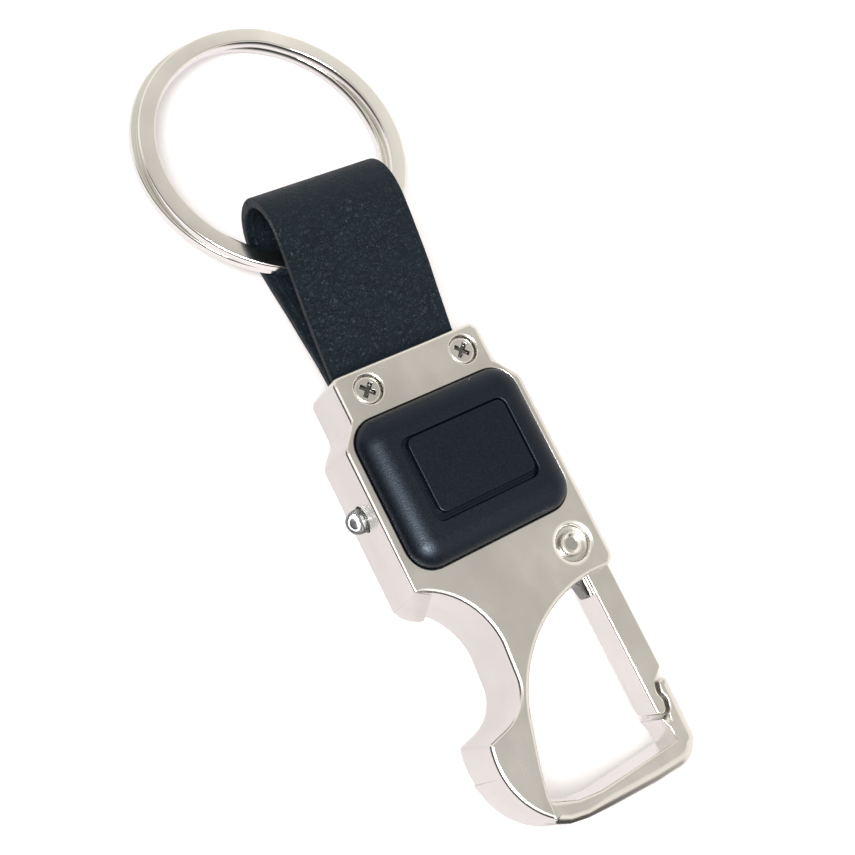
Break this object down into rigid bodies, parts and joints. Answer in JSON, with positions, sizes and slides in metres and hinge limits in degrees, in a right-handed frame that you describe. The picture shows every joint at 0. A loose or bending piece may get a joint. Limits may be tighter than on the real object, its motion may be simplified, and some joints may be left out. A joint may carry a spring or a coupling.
{
  "type": "keychain torch",
  "caption": "Keychain torch in a cast case with a bottle opener and a snap hook, on a leather strap with a split ring.",
  "frame": {"origin": "on the flat back of the casting, under the centre of the torch bay", "axes": "+X towards the hook's gate, +Y towards the key ring, +Z out of the front face with the button"},
  "size_m": [0.0348, 0.1072, 0.0117],
  "materials": {
    "case_metal": "satin, bright plated casting",
    "leather": "dark blue-black, fine grain, burnished edges",
    "screw_metal": "bright plated",
    "ring_metal": "bright plated flat wire",
    "spring_steel": "plain spring strip",
    "black_plastic": "satin black",
    "white_plastic": "matte",
    "board": "lacquered board",
    "clear_lens": "clear, polished",
    "lead_metal": "tinned",
    "cell_metal": "plain steel cans",
    "contact_metal": "plain strip"
  },
  "bodies": {
    "case": {"case": "case_metal", "strap_tail": "leather", "strap_screws": "screw_metal", "gate_pin": "screw_metal", "gate_spring": "spring_steel", "torch_cover": "black_plastic", "torch_base": "black_plastic", "circuit_board": "board", "switch_housing": "black_plastic", "resistor": "black_plastic", "led_lens": "clear_lens", "led_leads": "lead_metal", "button_cells": "cell_metal", "contact_positive": "contact_metal", "contact_negative": "contact_metal"},
    "strap": {"strap": "leather"},
    "ring": {"key_ring": "ring_metal"},
    "gate": {"gate": "case_metal"},
    "button": {"torch_button": "black_plastic", "switch_stem": "white_plastic"}
  },
  "joints": [
    {"name": "strap_flex", "type": "hinge", "parent": "case", "child": "strap", "pos_m": [0, 0.01695, 0.005], "axis": [1, 0, 0], "range_deg": [-45, 60], "stiffness_Nm_per_rad": 0.004},
    {"name": "ring_swing", "type": "hinge", "parent": "strap", "child": "ring", "pos_m": [0, 0.03195, 0.0047], "axis": [1, 0, 0], "range_deg": [-8, 125]},
    {"name": "gate_hinge", "type": "hinge", "parent": "case", "child": "gate", "pos_m": [0.00835, -0.0139, 0.00475], "axis": [0, 0, -1], "range_deg": [0, 28], "stiffness_Nm_per_rad": 0.04, "springref_deg": -20.05, "deforming": ["gate_spring"]},
    {"name": "button_press", "type": "slide", "parent": "case", "child": "button", "axis": [0, 0, -1], "range_m": [0, 0.0005], "stiffness_N_per_m": 2000, "springref_m": -0.0003}
  ]
}
